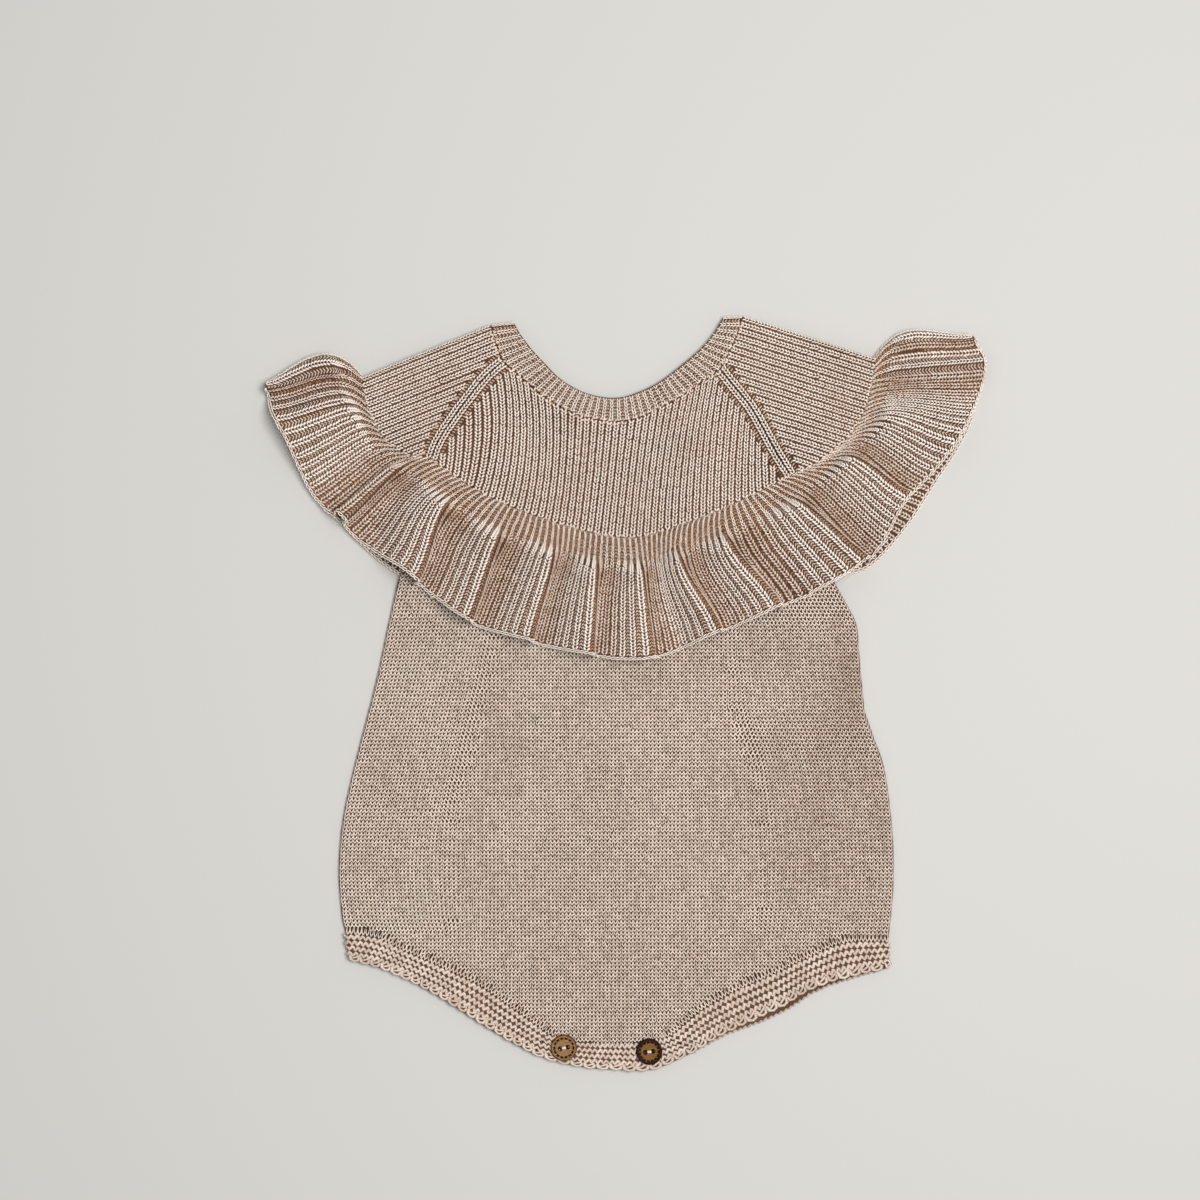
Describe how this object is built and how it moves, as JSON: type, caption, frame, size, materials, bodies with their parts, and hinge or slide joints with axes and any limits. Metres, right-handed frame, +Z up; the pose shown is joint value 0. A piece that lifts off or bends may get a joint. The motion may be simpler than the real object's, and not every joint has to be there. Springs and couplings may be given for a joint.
{
  "type": "baby romper",
  "caption": "Knitted baby romper laid flat: ribbed raglan yoke, wide gathered rib ruffle all round, plain body, garter leg bands and a buttoned crotch.",
  "frame": {"origin": "middle of the garment's outline seen from above, on the surface that it lies on", "axes": "+X across the garment to the right as it is seen face up, +Y from the crotch to the neck, +Z up from the surface"},
  "size_m": [0.3727, 0.3916, 0.0195],
  "materials": {
    "plain_knit": "matt cotton stockinette",
    "rib_knit": "matt cotton rib",
    "ruffle_knit": "matt cotton rib, gathered",
    "garter_knit": "matt cotton garter stitch",
    "button": "satin, scorched rim"
  },
  "bodies": {
    "root": {"front_body": "plain_knit", "back_body": "plain_knit", "front_yoke": "rib_knit", "back_yoke": "rib_knit", "shoulder_cap_left": "rib_knit", "shoulder_cap_right": "rib_knit", "neckband": "rib_knit", "ruffle": "ruffle_knit", "leg_band_left": "garter_knit", "leg_band_right": "garter_knit", "crotch_band_front": "garter_knit", "crotch_band_back": "garter_knit", "button_left": "button", "button_right": "button"}
  },
  "joints": []
}
